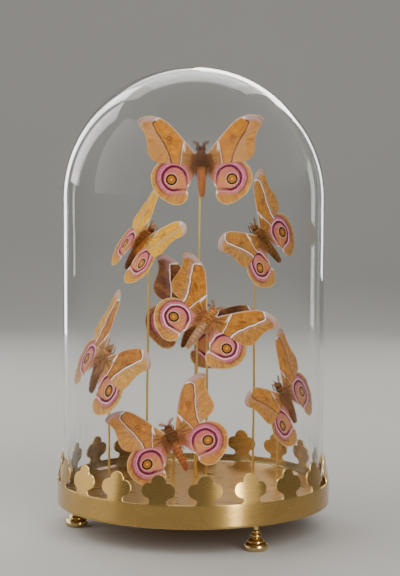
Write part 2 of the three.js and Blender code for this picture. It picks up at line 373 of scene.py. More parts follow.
class Tree:
    """Builds the node tree of one material."""

    def __init__(self, name: str) -> None:
        """Starts a material that holds only its surface shader."""
        self.material = bpy.data.materials.new(name)
        self.material.use_nodes = True
        self.nodes = self.material.node_tree.nodes
        self.links = self.material.node_tree.links
        self.shader = self.nodes["Principled BSDF"]

    def feed(self, socket: Socket, value: Input) -> None:
        """Links a socket, or sets its constant."""
        if isinstance(value, Socket):
            self.links.new(value, socket)
        else:
            socket.default_value = value

    def surface(self, **values: Input) -> None:
        """Feeds the shader's inputs, named with underscores for spaces."""
        for key, value in values.items():
            self.feed(self.shader.inputs[key.replace("_", " ")], value)

    def number(self, name: str) -> Socket:
        """Reads a vertex value of the mesh."""
        node = self.nodes.new("ShaderNodeAttribute")
        node.attribute_name = name
        return node.outputs["Fac"]

    def place(self, name: str, stretch: Sequence[float], shift: float) -> Socket:
        """Reads a vertex vector of the mesh, stretched and shifted."""
        source = self.nodes.new("ShaderNodeAttribute")
        source.attribute_name = name
        node = self.nodes.new("ShaderNodeMapping")
        self.feed(node.inputs["Vector"], source.outputs["Vector"])
        node.inputs["Scale"].default_value = tuple(stretch)
        node.inputs["Location"].default_value = (shift, shift * 0.7, shift * 1.3)
        return node.outputs["Vector"]

    def math(self, operation: str, *values: Input) -> Socket:
        """Adds a Math node."""
        node = self.nodes.new("ShaderNodeMath")
        node.operation = operation
        for socket, value in zip(node.inputs, values):
            self.feed(socket, value)
        return node.outputs[0]

    def above(self, value: Socket, edge: float, soft: float) -> Socket:
        """Rises smoothly from 0 to 1 as a value passes an edge."""
        node = self.nodes.new("ShaderNodeMapRange")
        node.interpolation_type = "SMOOTHSTEP"
        self.feed(node.inputs["Value"], value)
        node.inputs["From Min"].default_value = edge - soft
        node.inputs["From Max"].default_value = edge + soft
        return node.outputs[0]

    def below(self, value: Socket, edge: float, soft: float) -> Socket:
        """Falls smoothly from 1 to 0 as a value passes an edge."""
        return self.math("SUBTRACT", 1.0, self.above(value, edge, soft))

    def band(self, value: Socket, low: float, high: float, soft: float) -> Socket:
        """Is 1 between two edges and 0 outside them."""
        return self.math("MULTIPLY", self.above(value, low, soft), self.below(value, high, soft))

    def both(self, *factors: Socket) -> Socket:
        """Multiplies factors."""
        result = factors[0]
        for factor in factors[1:]:
            result = self.math("MULTIPLY", result, factor)
        return result

    def noise(
        self, name: str, stretch: Sequence[float], detail: float, shift: float = 0.0, distortion: float = 0.0
    ) -> Socket:
        """Adds a noise texture over a stretched and shifted vertex vector."""
        node = self.nodes.new("ShaderNodeTexNoise")
        self.feed(node.inputs["Vector"], self.place(name, stretch, shift))
        node.inputs["Scale"].default_value = 1.0
        node.inputs["Detail"].default_value = detail
        node.inputs["Distortion"].default_value = distortion
        return node.outputs["Fac"]

    def spread(self, value: Socket, low: float, high: float) -> Socket:
        """Maps a value that runs from 0.3 to 0.7 to one from low to high."""
        node = self.nodes.new("ShaderNodeMapRange")
        self.feed(node.inputs["Value"], value)
        for key, number in zip(("From Min", "From Max", "To Min", "To Max"), (0.3, 0.7, low, high)):
            node.inputs[key].default_value = number
        return node.outputs[0]

    def mix(self, factor: Input, under: Input, over: Input) -> Socket:
        """Mixes one colour over another."""
        node = self.nodes.new("ShaderNodeMix")
        node.data_type = "RGBA"
        self.feed(node.inputs[0], factor)
        self.feed(node.inputs[6], under)
        self.feed(node.inputs[7], over)
        return node.outputs[2]

    def lay(self, under: Input, over: Input, where: Socket, share: float) -> Socket:
        """Lays a share of one colour over another where a factor is 1."""
        return self.mix(self.math("MULTIPLY", where, share), under, over)

    def bump(self, height: Socket, strength: float, distance: float) -> None:
        """Roughens the surface by a height, with its distance in metres."""
        node = self.nodes.new("ShaderNodeBump")
        node.inputs["Strength"].default_value = strength
        node.inputs["Distance"].default_value = distance
        self.feed(node.inputs["Height"], height)
        self.feed(self.shader.inputs["Normal"], node.outputs["Normal"])


CUT_BRASS = srgb(252, 226, 164)


@dataclass(frozen=True)
class BrushedBrass:
    """Brass with fine brush marks that run along the first axis of the vertex vector "grain".

    Attributes:
        name: name of the material.
        bright, deep: the metal's colour in and between the marks.
        roughness: mean roughness.
        marks: strength of the brush marks.
        anisotropy: how far a highlight is drawn out across the marks.
        rotation: turn of that direction, as a share of a full turn.
        metal: how metallic it is, below 1 where the surface is satin.
        satin_inside: how much less metallic it is where the vertex value "inside" is 1.
    """

    name: str
    bright: Colour
    deep: Colour
    roughness: float
    marks: float
    anisotropy: float = 0.0
    rotation: float = 0.0
    metal: float = 1.0
    satin_inside: float = 0.0

    def material(self) -> Material:
        """Builds the material."""
        tree = Tree(self.name)
        streaks = tree.noise("grain", (0.006, 3.6, 1.0), 2.0)
        fine = tree.noise("grain", (0.12, 9.0, 2.0), 2.0, 7.0)
        stain = tree.noise("grain", (0.03, 0.05, 0.05), 3.0, 3.0, distortion=0.6)
        tone = tree.mix(tree.spread(streaks, 0.15, 0.85), self.deep, self.bright)
        tone = tree.lay(tone, self.deep, tree.above(stain, 0.56, 0.12), 0.3)
        tone = tree.mix(tree.number("edge"), tone, CUT_BRASS)
        swing = 0.008 + 0.05 * self.marks
        rough = tree.math("ADD", tree.spread(streaks, -swing, swing), self.roughness)
        rough = tree.math("ADD", rough, tree.spread(stain, -0.02, 0.04))
        metal = self.metal
        if self.satin_inside:
            satin = tree.math("MULTIPLY", tree.number("inside"), self.satin_inside)
            metal = tree.math("SUBTRACT", metal, satin)
        tree.surface(Base_Color=tone, Metallic=metal, Roughness=rough)
        if self.anisotropy:
            tree.surface(Anisotropic=self.anisotropy, Anisotropic_Rotation=self.rotation)
        tree.bump(tree.math("ADD", fine, tree.math("MULTIPLY", streaks, 0.5)), self.marks, 0.00002)
        return tree.material


@dataclass(frozen=True)
class ClearGlass:
    """Clear blown glass, very slightly uneven."""

    name: str
    tint: Colour
    index: float
    sheen: Colour

    def material(self) -> Material:
        """Builds the material."""
        tree = Tree(self.name)
        tree.surface(Base_Color=self.tint, Roughness=0.0, IOR=self.index, Transmission_Weight=1.0)
        tree.surface(Specular_Tint=self.sheen)
        sweep = tree.noise("grain", (0.012, 0.012, 0.012), 1.0)
        tree.bump(sweep, 0.25, 0.0006)
        return tree.material


@dataclass(frozen=True)
class LineStrengths:
    """Strengths and width of a fore wing's cross lines.

    Attributes:
        outer, inner: how white the outer and the inner line are.
        half: half the width of the outer line, in millimetres of a moth of size 1.
        shadow: how dark the shadow beside them is.
    """

    outer: float
    inner: float
    half: float
    shadow: float


class LineStyle(Enum):
    """How the two cross lines of a fore wing are drawn."""

    WHITE = LineStrengths(1.0, 1.0, 0.62, 0.75)
    FINE = LineStrengths(0.75, 0.9, 0.4, 0.7)
    DARK = LineStrengths(0.0, 0.7, 0.5, 0.85)
    FAINT = LineStrengths(0.35, 0.4, 0.45, 0.25)


@dataclass(frozen=True)
class MothColours:
    """Colours of one moth.

    Attributes:
        inner, middle, outer: the fore wing inside, between and outside its cross lines.
        margin: the hind wing's outer border.
        pink: the hind wing round its eye.
        base: the hairy base of both wings.
        fur, abdomen: the body.
        line: how the cross lines are drawn.
        halo: strength of the pale line round the hind wing's ring.
        mottle: colour of the blotches on all wings.
    """

    inner: Colour = srgb(186, 122, 62)
    middle: Colour = srgb(190, 122, 56)
    outer: Colour = srgb(196, 142, 88)
    margin: Colour = srgb(222, 166, 84)
    pink: Colour = srgb(222, 150, 158)
    base: Colour = srgb(176, 116, 72)
    fur: Colour = srgb(112, 70, 40)
    abdomen: Colour = srgb(184, 112, 62)
    line: LineStyle = LineStyle.WHITE
    halo: float = 0.85
    mottle: Colour = srgb(242, 164, 48)


PALE_LINE = srgb(246, 232, 226)
LILAC = srgb(198, 170, 180)
MAROON = srgb(108, 16, 56)
MAGENTA = srgb(210, 94, 138)
EYE_RING = srgb(12, 5, 3)
AMBER = srgb(176, 108, 26)
AMBER_DOT = srgb(232, 186, 110)
RED_RAY = srgb(120, 52, 44)
PALE_SCALE = srgb(250, 196, 160)
BROWN_RAY = srgb(96, 48, 18)
CLOUD = srgb(206, 142, 84)
ROOT_STREAK = srgb(46, 24, 12)
DARK_SCALE = srgb(60, 26, 10)
VEIN = srgb(92, 46, 20)
UNDERSIDE = srgb(176, 138, 104)
SPOT_RING = srgb(118, 58, 36)
SPOT_CORE = srgb(226, 140, 70)
TIP_BROWN = srgb(150, 92, 62)
FRONT_EDGE = srgb(220, 196, 186)
FORE_RIM = srgb(226, 176, 108)
OUTER_SHADOW = srgb(64, 32, 30)
INNER_SHADOW = srgb(64, 32, 34)
RUST = srgb(206, 132, 80)
DUSK = srgb(112, 46, 26)
ORANGE_FIELD = srgb(218, 140, 76)
ROSE_FIELD = srgb(204, 92, 108)
FLUSH = srgb(214, 104, 122)
EYE_GLOW = srgb(240, 196, 180)
HALO = srgb(246, 196, 206)
HIND_RIM = srgb(240, 214, 160)


@dataclass(frozen=True)
class WingScales:
    """The scaled skin of a moth's wings, painted by distances that the mesh carries."""

    name: str
    colours: MothColours
    seed: float

    def _grained(self, tree: Tree, colour: Socket) -> Socket:
        """Breaks a colour up with rays and single scales alone."""
        rays = tree.noise("ray", (1.6, 0.05, 1.0), 3.0, self.seed + 6)
        scales = tree.noise("plan", (1.3, 1.3, 1.0), 2.0, self.seed + 3)
        colour = tree.mix(tree.spread(rays, -0.1, 0.36), colour, RED_RAY)
        return tree.mix(tree.spread(scales, -0.15, 0.2), colour, PALE_SCALE)

    def _weathered(self, tree: Tree, colour: Socket) -> Socket:
        """Breaks a colour up with rays, mottles, veins and single scales."""
        rays = tree.noise("ray", (1.3, 0.05, 1.0), 3.0, self.seed)
        mottle = tree.noise("plan", (0.2, 0.2, 1.0), 4.0, self.seed + 4, distortion=0.8)
        cloud = tree.noise("plan", (0.09, 0.09, 1.0), 3.0, self.seed + 9, distortion=0.5)
        scales = tree.noise("plan", (1.3, 1.3, 1.0), 2.0, self.seed)
        colour = tree.mix(tree.spread(rays, -0.06, 0.38), colour, BROWN_RAY)
        colour = tree.mix(tree.spread(mottle, -0.25, 0.7), colour, self.colours.mottle)
        colour = tree.mix(tree.spread(cloud, -0.2, 0.45), colour, CLOUD)
        streak = tree.both(tree.below(tree.number("root"), 15.0, 7.0), tree.above(rays, 0.5, 0.06))
        colour = tree.lay(colour, ROOT_STREAK, streak, 0.7)
        colour = tree.mix(tree.spread(scales, -0.08, 0.36), colour, DARK_SCALE)
        veins = tree.below(tree.number("vein"), 0.32, 0.3)
        return tree.lay(colour, VEIN, veins, 0.45)

    def _finish(self, tree: Tree, colour: Socket) -> Material:
        """Adds the paler underside and the velvet, and closes the material."""
        under = tree.mix(0.45, colour, UNDERSIDE)
        colour = tree.mix(tree.number("under"), colour, under)
        tree.surface(Base_Color=colour, Roughness=0.82, Specular_IOR_Level=0.2, Sheen_Weight=0.06)
        relief = tree.noise("plan", (2.4, 2.4, 1.0), 2.0, self.seed)
        tree.bump(relief, 0.35, 0.00012)
        return tree.material

    def fore(self) -> Material:
        """Builds the fore wings' material."""
        tree, paint = Tree(self.name + "_fore_wing"), self.colours
        wobble = tree.spread(tree.noise("plan", (0.16, 0.16, 1.0), 1.0, self.seed), -0.35, 0.35)
        inner_line = tree.math("ADD", tree.number("inner_line"), wobble)
        outer_line = tree.math("ADD", tree.number("outer_line"), wobble)
        front, rim = tree.number("front"), tree.number("rim")
        colour = tree.mix(tree.above(inner_line, 0.0, 0.5), paint.inner, paint.middle)
        colour = tree.mix(tree.above(outer_line, 0.0, 0.5), colour, paint.outer)
        hairy = tree.below(tree.number("root"), 9.0, 6.0)
        colour = tree.lay(colour, paint.base, hairy, 0.7)
        shade = tree.band(outer_line, 0.3, 4.2, 2.0)
        colour = tree.lay(colour, LILAC, shade, 0.3)
        spot = tree.number("spot")
        colour = tree.lay(colour, SPOT_RING, tree.band(spot, 1.1, 2.3, 0.35), 0.8)
        colour = tree.lay(colour, SPOT_CORE, tree.below(spot, 1.0, 0.4), 0.7)
        colour = self._weathered(tree, colour)
        tip = tree.both(tree.above(outer_line, 0.6, 0.5), tree.below(front, 5.0, 2.2))
        colour = tree.lay(colour, LILAC, tip, 0.75)
        tip_dark = tree.both(tree.above(tree.number("root"), 63.5, 2.2), tree.below(rim, 3.0, 1.2))
        colour = tree.lay(colour, TIP_BROWN, tip_dark, 0.6)
        colour = self._cross_lines(tree, colour, inner_line, outer_line, front)
        costa = tree.both(tree.below(front, 0.9, 0.5), tree.above(tree.number("root"), 2.0, 2.0))
        colour = tree.lay(colour, FRONT_EDGE, costa, 0.7)
        edge = tree.both(tree.below(rim, 0.7, 0.4), tree.above(outer_line, 1.0, 1.0))
        colour = tree.lay(colour, FORE_RIM, edge, 0.55)
        return self._finish(tree, colour)

    def _cross_lines(
        self, tree: Tree, colour: Socket, inner_line: Socket, outer_line: Socket, front: Socket
    ) -> Socket:
        """Draws the two cross lines of a fore wing and the wedge where the inner one meets the front edge."""
        line = self.colours.line.value
        shadow_from, shadow_to = (-1.5, -0.2) if line.outer else (-0.6, 0.5)
        shadow = tree.band(outer_line, shadow_from, shadow_to, 0.35)
        colour = tree.lay(colour, OUTER_SHADOW, shadow, line.shadow)
        inner_shadow = tree.band(inner_line, 0.3, 1.3, 0.4)
        colour = tree.lay(colour, INNER_SHADOW, inner_shadow, 0.7 * line.shadow)
        if line.outer:
            drawn = tree.band(outer_line, -line.half, line.half, 0.22)
            colour = tree.lay(colour, PALE_LINE, drawn, line.outer)
        thin = 0.6 * line.half
        drawn = tree.band(inner_line, -thin, thin, 0.25)
        colour = tree.lay(colour, PALE_LINE, drawn, line.inner)
        flare = tree.math("ADD", inner_line, tree.math("MULTIPLY", front, 0.36))
        in_wedge = tree.band(flare, -0.6, 2.4, 0.4)
        wedge = tree.both(in_wedge, tree.below(inner_line, 0.4, 0.3), tree.below(front, 6.4, 1.4))
        colour = tree.lay(colour, PALE_LINE, wedge, line.inner)
        start = tree.both(tree.band(outer_line, -0.9, 1.5, 0.4), tree.below(front, 3.6, 1.2))
        return tree.lay(colour, PALE_LINE, start, 0.85)

    def hind(self) -> Material:
        """Builds the hind wings' material."""
        tree, paint = Tree(self.name + "_hind_wing"), self.colours
        wobble = tree.spread(tree.noise("plan", (0.14, 0.14, 1.0), 1.0, self.seed + 2), -0.35, 0.35)
        ring = tree.math("ADD", tree.number("ring"), wobble)
        pupil, rim = tree.number("pupil"), tree.number("rim")
        outward = tree.above(tree.number("outward"), 0.0, 9.0)
        colour = tree.mix(tree.below(tree.number("root"), 20.0, 9.0), paint.margin, paint.base)
        brown = tree.both(tree.band(ring, 2.0, 7.5, 2.5), tree.math("SUBTRACT", 1.0, outward))
        colour = tree.lay(colour, RUST, brown, 0.35)
        colour = self._weathered(tree, colour)
        blush = tree.both(tree.below(ring, 8.0, 4.0), tree.above(tree.number("height"), -16.0, 8.0))
        colour = tree.lay(colour, paint.pink, blush, 0.5)
        dusk = tree.both(tree.band(ring, 4.2, 6.8, 1.2), outward)
        colour = tree.lay(colour, DUSK, dusk, 0.85)
        outer_share = tree.math("ADD", 0.4, tree.math("MULTIPLY", outward, 0.6))
        rose = tree.both(tree.band(ring, 1.0, 4.8, 0.7), outer_share)
        colour = tree.lay(colour, MAGENTA, rose, 0.95)
        inward = tree.above(tree.number("inward"), 0.0, 5.0)
        upper = tree.above(tree.number("height"), -17.0, 5.0)
        within = tree.mix(inward, paint.pink, ORANGE_FIELD)
        within = tree.lay(within, ROSE_FIELD, upper, 0.65)
        within = tree.lay(within, FLUSH, tree.band(ring, -3.4, -0.6, 1.0), 0.4)
        within = tree.lay(within, EYE_GLOW, tree.band(pupil, 4.8, 6.4, 0.6), 0.4)
        colour = tree.mix(tree.below(ring, -0.5, 0.4), colour, within)
        colour = self._grained(tree, colour)
        light = tree.band(ring, 0.8, 2.3, 0.4)
        colour = tree.lay(colour, HALO, light, paint.halo)
        near_tip = tree.above(tree.number("inward"), 11.0, 3.0)
        fade = tree.math("SUBTRACT", 1.0, tree.math("MULTIPLY", near_tip, 0.5))
        colour = tree.mix(tree.both(tree.band(ring, -1.5, 1.0, 0.35), fade), colour, MAROON)
        colour = tree.mix(tree.below(pupil, 5.3, 0.2), colour, EYE_RING)
        colour = tree.mix(tree.below(pupil, 3.8, 0.4), colour, AMBER)
        colour = tree.mix(tree.below(pupil, 0.9, 0.9), colour, AMBER_DOT)
        colour = tree.mix(tree.below(tree.number("tuft"), 1.7, 0.5), colour, PALE_LINE)
        edge = tree.both(tree.below(rim, 0.8, 0.5), tree.above(tree.number("root"), 24.0, 4.0))
        colour = tree.lay(colour, HIND_RIM, edge, 0.6)
        return self._finish(tree, colour)


@dataclass(frozen=True)
class Fur:
    """Moth hair, coloured by the vertex value "tone" from dark to pale."""

    name: str
    dark: Colour
    pale: Colour

    def material(self) -> Material:
        """Builds the material."""
        tree = Tree(self.name)
        tone = tree.number("tone")
        colour = tree.mix(tree.above(tone, 0.5, 0.5), self.dark, self.pale)
        tree.surface(Base_Color=colour, Roughness=0.75, Specular_IOR_Level=0.2, Sheen_Weight=0.04)
        return tree.material


# ---------------------------------------------------------------------------------------------
# The case
# ---------------------------------------------------------------------------------------------


@dataclass(frozen=True)
class CaseSizes:
    """Driving dimensions of the case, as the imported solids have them."""

    foot_height: float = 26.0
    foot_ring: float = 112.0
    band_radius: float = 130.0
    band_height: float = 20.8
    band_sheet: float = 1.7
    plate_recess: float = 6.0
    plate_thickness: float = 3.0
    tab_count: int = 19
    tab_first_angle: float = -14.03
    tab_height: float = 26.3
    tab_lean: float = 4.1
    tab_neck: float = 7.3
    tab_fillet: float = 3.48
    tab_top: tuple[float, float, float] = (0.0, 19.7, 6.6)
    tab_side: tuple[float, float, float] = (9.0, 13.0, 6.2)
    dome_radius: float = 123.8
    dome_wall: float = 3.0
    dome_height: float = 397.6
    rod_radius: float = 1.1

    @property
    def band_top(self) -> float:
        """Height of the band's upper edge between the tabs."""
        return self.foot_height + self.band_height

    @property
    def plate_top(self) -> float:
        """Height of the plate that the glass and the rods stand on."""
        return self.band_top - self.plate_recess


CASE = CaseSizes()
SEAM = 0.15
SOFT_EDGE = 0.4
ROD_TIP = 0.35
ROD_BEVEL = 0.3


def brass_pieces() -> bpy.types.Collection:
    """The collection of everything brass, which some lamps are there for."""
    return bpy.data.collections.get("brass_pieces") or bpy.data.collections.new("brass_pieces")


def claim(piece: Object, slot: str, *nodes: str) -> None:
    """Lets a piece ride on the case and stand for its solids."""
    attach(piece, "root")
    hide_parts(*nodes)
    if slot.endswith("brass"):
        brass_pieces().objects.link(piece)
    LOG.info("%s: %d faces", piece.name, len(piece.data.polygons))


@dataclass
class GalleryBand:
    """The sawn brass band: a plain ring below, club-shaped tabs above.

    Attributes:
        finish: its brass.
        sheet: thickness of the strip.
        chamfer: width of the softened edges.
        spacing: distance between the points of its net.
        columns, rows: points of the net along the lower edge and up each side of one pitch.
        set_back: how far the top of a tab lies inside its lean.
        grain_jump: how far the brush marks of one tab can lie from those of another.
    """

    finish: Material
    sheet: float = 1.5
    chamfer: float = 0.55
    spacing: float = 1.9
    columns: int = 25
    rows: int = 9
    set_back: float = 0.25
    grain_jump: float = 90

    def _tab_edge(self) -> Points:
        """Upper edge of one pitch of the band, from its right end to its left end, from the band's top."""
        case = CASE
        side_x, side_y, side_r = case.tab_side
        _, top_y, top_r = case.tab_top
        reach = math.hypot(side_x, top_y - side_y)
        towards = math.atan2(top_y - side_y, -side_x)
        along = (reach**2 + side_r**2 - top_r**2) / (2 * reach)
        side_end = towards - math.acos(along / side_r)
        waist = math.atan2(side_y - case.tab_fillet, side_x - case.tab_neck - case.tab_fillet)
        top_start = math.asin((side_y + side_r * math.sin(side_end) - top_y) / top_r)
        turn = np.linspace(1.5 * math.pi, waist, 12)
        fillet_x = case.tab_neck + case.tab_fillet * (1 + np.cos(turn))
        fillet = np.stack([fillet_x, case.tab_fillet * (1 + np.sin(turn))], 1)
        turn = np.linspace(waist - math.pi, side_end, 20)[1:]
        side = np.stack([side_x + side_r * np.cos(turn), side_y + side_r * np.sin(turn)], 1)
        turn = np.linspace(top_start, math.pi / 2, 10)[1:]
        top = np.stack([top_r * np.cos(turn), top_y + top_r * np.sin(turn)], 1)
        half_pitch = math.pi * case.band_radius / case.tab_count
        flat = np.linspace(half_pitch, case.tab_neck + case.tab_fillet, 8)[:-1]
        start = np.stack([flat, np.zeros_like(flat)], 1)
        half = np.vstack([start, fillet, side, top])
        return np.vstack([half, half[:-1][::-1] * [-1, 1]])

    def _tile(self) -> tuple[Points, list]:
        """One pitch of the band as points [along, height, depth] with faces, open at both ends."""
        upper = self._tab_edge()
        upper[:, 1] += CASE.band_height
        heading = np.gradient(upper, axis=0)
        heading[0], heading[-1] = (-1, 0), (-1, 0)
        heading = unit(heading)
        inset = upper - self.chamfer * np.stack([heading[:, 1], -heading[:, 0]], 1) * -1
        half_pitch = upper[0, 0]
        columns = np.linspace(-half_pitch, half_pitch, self.columns)
        rows = np.linspace(self.chamfer, inset[0, 1], self.rows + 2)[1:-1]
        lower_inset = np.stack([columns, np.full(self.columns, self.chamfer)], 1)
        right = np.stack([np.full(self.rows, half_pitch), rows], 1)
        left = right[::-1] * [-1, 1]
        outline = np.vstack([lower_inset, right, inset, left])
        net, triangles = filled(outline, self.spacing)
        lower = np.stack([columns, np.zeros(self.columns)], 1)
        flat = np.vstack([net, lower, upper])
        depth_front = np.concatenate([np.zeros(len(net)), np.full(len(lower) + len(upper), self.chamfer)])
        front = np.column_stack([flat, depth_front])
        back = np.column_stack([flat, self.sheet - depth_front])
        total = len(flat)
        faces = [tuple(t) for t in triangles] + [tuple(total + i for i in t[::-1]) for t in triangles]
        lower_start, upper_start = len(net), len(net) + len(lower)
        edges = ((0, lower_start, len(lower)), (self.columns + self.rows, upper_start, len(upper)))
        for inset_start, edge_start, corners in edges:
            for k in range(corners - 1):
                a, b, c, d = inset_start + k, inset_start + k + 1, edge_start + k + 1, edge_start + k
                behind = (total + a, total + b, total + c, total + d)
                faces += [(b, a, d, c), behind, (c, d, total + d, total + c)]
        return np.vstack([front, back]), faces

    def build(self) -> Object:
        """Wraps nineteen pitches round the base and welds them."""
        tile, tile_faces = self._tile()
        points, faces, grain = [], [], []
        on_edge = np.abs(tile[:, 2] - self.sheet / 2) < self.sheet / 2 - 0.1
        cut = np.tile(on_edge, CASE.tab_count).astype(float)
        for k in range(CASE.tab_count):
            middle = math.radians(CASE.tab_first_angle) + 2 * math.pi * k / CASE.tab_count
            along, height, depth = tile.T
            angle = middle + along / CASE.band_radius
            rise = np.clip((height - CASE.band_height) / CASE.tab_height, 0, None)
            radius = CASE.band_radius - depth - self.set_back * rise - CASE.tab_lean * rise
            x, y = radius * np.sin(angle), -radius * np.cos(angle)
            points.append(np.stack([x, y, CASE.foot_height + height], 1))
            faces += [tuple(i + k * len(tile) for i in face) for face in tile_faces]
            own_grain = height + self.grain_jump * np.sin(9.1 * k) * (rise > 0)
            grain.append(np.stack([angle * CASE.band_radius, own_grain, depth], 1))
        inside_face = np.tile(tile[:, 2] > 0.75 * self.sheet, CASE.tab_count).astype(float)
        values = {"grain": np.vstack(grain), "edge": cut, "inside": inside_face}
        surface = Surface(np.vstack(points), faces, values)
        band = surface.to_object("gallery_band_sawn", [self.finish], 50)
        weld(band)
        claim(band, "brass", "gallery_band")
        return band


def weld(piece: Object) -> None:
    """Merges vertices that lie in the same place and turns all faces out."""
    work = bmesh.new()
    work.from_mesh(piece.data)
    bmesh.ops.remove_doubles(work, verts=work.verts, dist=2e-6)
    bmesh.ops.recalc_face_normals(work, faces=work.faces)
    work.to_mesh(piece.data)
    work.free()


@dataclass
class BasePlate:
    """The brushed plate inside the band, with a softened edge."""

    finish: Material

    def build(self) -> Object:
        """Turns the plate."""
        radius = CASE.band_radius - CASE.band_sheet - SEAM
        top, low = CASE.plate_top, CASE.plate_top - CASE.plate_thickness
        rings = np.linspace(0, radius - SOFT_EDGE, 14)
        wall = [(radius, low + SOFT_EDGE), (radius, top - SOFT_EDGE)]
        profile = [(r, low) for r in rings] + wall + [(r, top) for r in rings[::-1]]
        surface = revolved(np.array(profile), 128)
        surface.values["grain"] = surface.points.copy()
        plate = surface.to_object("base_plate_brushed", [self.finish])
        claim(plate, "brass", "base_plate")
        return plate


@dataclass
class TurnedFoot:
    """A polished brass foot: bun, bead, neck and the flange under the plate."""

    place: str
    angle: float
    finish: Material

    def build(self) -> Object:
        """Turns the foot and stands it in its place."""
        flange = CASE.plate_top - CASE.plate_thickness - SEAM
        bun = smooth_curve([(8.3, 0.0), (10.5, 1.7), (11.0, 3.9), (10.3, 6.0), (8.7, 7.4), (7.5, 7.7)], 6)
        shoulder = smooth_curve([(7.5, 7.7), (7.6, 8.5), (6.7, 9.8), (4.9, 11.0), (3.6, 11.5)], 5)
        bead = smooth_curve([(3.6, 11.5), (4.6, 12.6), (4.8, 13.9), (3.9, 15.2), (2.9, 15.7)], 5)
        neck = smooth_curve([(2.9, 15.7), (3.5, 16.5), (3.6, 17.6), (2.4, 19.0)], 5)
        collar = [(2.4, -2.4), (6.6, -1.6), (7.0, -1.2), (7.0, 0), (0, 0)]
        stem = np.array(collar) + [0, flange]
        profile = np.vstack([[(0, 0)], bun, shoulder[1:], bead[1:], neck[1:], stem])
        surface = revolved(profile, 48)
        turn = np.arctan2(surface.points[:, 1], surface.points[:, 0])
        surface.values["grain"] = np.stack([turn * 6, surface.points[:, 2], np.zeros(len(turn))], 1)
        angle = math.radians(self.angle)
        shift = CASE.foot_ring * np.array([math.sin(angle), -math.cos(angle), 0])
        standing = surface.moved(surface.points + shift)
        foot = standing.to_object("foot_" + self.place + "_turned", [self.finish], 30)
        claim(foot, "brass", "foot_" + self.place)
        return foot


@dataclass
class GlassDome:
    """The clear dome, with a fire-polished rim."""

    finish: Material
    segments: int = 144

    def build(self) -> Object:
        """Turns the shell as one closed surface, inner face first."""
        rim = CASE.plate_top + 0.1
        centre = CASE.plate_top + 0.3 + CASE.dome_height - CASE.dome_radius
        inner, outer = CASE.dome_radius - CASE.dome_wall, CASE.dome_radius
        arc = np.linspace(0, math.pi / 2, 40)
        wall = np.linspace(rim + 1.5, centre, 14)[:-1]
        crown_in, crown_out = (
            [(radius * math.cos(a), centre + radius * math.sin(a)) for a in arc] for radius in (inner, outer)
        )
        middle, half = (inner + outer) / 2, CASE.dome_wall / 2
        bend = np.linspace(0, math.pi, 13)[1:-1]
        lip = [(middle - half * math.cos(a), rim + half - half * math.sin(a)) for a in bend]
        wall_in, wall_out = [(inner, z) for z in wall[::-1]], [(outer, z) for z in wall]
        profile = crown_in[::-1] + wall_in + lip + wall_out + crown_out
        profile[0], profile[-1] = (0.0, centre + inner), (0.0, centre + outer)
        surface = revolved(np.array(profile), self.segments)
        surface.values["grain"] = surface.points.copy()
        dome = surface.to_object("glass_dome_blown", [self.finish], 60)
        claim(dome, "clear_glass", "glass_dome")
        return dome


# ---------------------------------------------------------------------------------------------
# Moths
# ---------------------------------------------------------------------------------------------

WING_ROOT = 3.5
WAIST = -9.0
WING_LEVEL = 0.3


@dataclass(frozen=True)
class Pose:
    """Where one moth stands and how its wings are set.

    Attributes:
        place: name of its place in the case.
        at: middle of the wing roots, from the band's lower edge.
        turn, tilt, spin: turn about the vertical, lean, and spin in the plane of the wings, in degrees.
        size: scale of the moth.
        lift, fore, hind: rise of the left and right wings, and how far they sweep forward, in degrees.
        droop: bend of the abdomen in degrees.
        foot: where its rod stands on the plate.
        colours: its colours.
    """

    place: str
    at: tuple[float, float, float]
    turn: float
    tilt: float
    spin: float
    size: float
    lift: tuple[float, float]
    fore: tuple[float, float]
    hind: tuple[float, float]
    droop: float
    foot: tuple[float, float]
    colours: MothColours

    def to_case(self, local: Points) -> Points:
        """Carries points from the moth's own frame into the case's."""
        turn = Matrix.Rotation(math.radians(self.turn), 3, "Z")
        lean = Matrix.Rotation(math.radians(90 + self.tilt), 3, "X")
        spin = Matrix.Rotation(math.radians(self.spin), 3, "Z")
        rotation = np.array(turn @ lean @ spin)
        return local @ rotation.T * self.size + np.array(self.at) + [0, 0, CASE.foot_height]


class WingPlan:
    """A wing laid flat: its net of triangles and the distances that its pattern is painted by."""

    outline_points: Sequence[tuple[float, float]] = ()
    vein_origin: tuple[float, float] = (0, 0)
    vein_ends: Sequence[tuple[float, float]] = ()
    cell: Sequence[tuple[float, float]] = ()

    def __init__(self, spacing: float) -> None:
        """Fills the outline at a spacing and measures the fields."""
        self.outline = evenly(smooth_curve(self.outline_points, 8, closed=True), spacing, closed=True)
        if signed_area(self.outline) < 0:
            self.outline = self.outline[::-1]
        self.points, self.triangles = filled(self.outline, spacing)
        ring = np.vstack([self.outline, self.outline[:1]])
        away = self.points - [WING_ROOT, -2.0]
        bearing, distance = np.arctan2(away[:, 1], away[:, 0]), np.hypot(*away.T)
        self.values = {
            "plan": np.column_stack([self.points, np.zeros(len(self.points))]),
            "ray": np.column_stack([bearing * 14, distance, np.zeros(len(distance))]),
            "rim": np.abs(signed_distance(self.points, ring)),
            "root": distance,
            "vein": self._veins(),
        }

    def _distance_to(self, place: Sequence[float]) -> np.ndarray:
        """Distance of every point to a place on the wing."""
        return np.hypot(*(self.points - place).T)

    def _veins(self) -> np.ndarray:
        """Distance to the nearest vein."""
        lines = [np.array([self.vein_origin, end], dtype=float) for end in self.vein_ends]
        lines += [smooth_curve(self.cell, 6)]
        return np.min([np.abs(signed_distance(self.points, line)) for line in lines], axis=0)


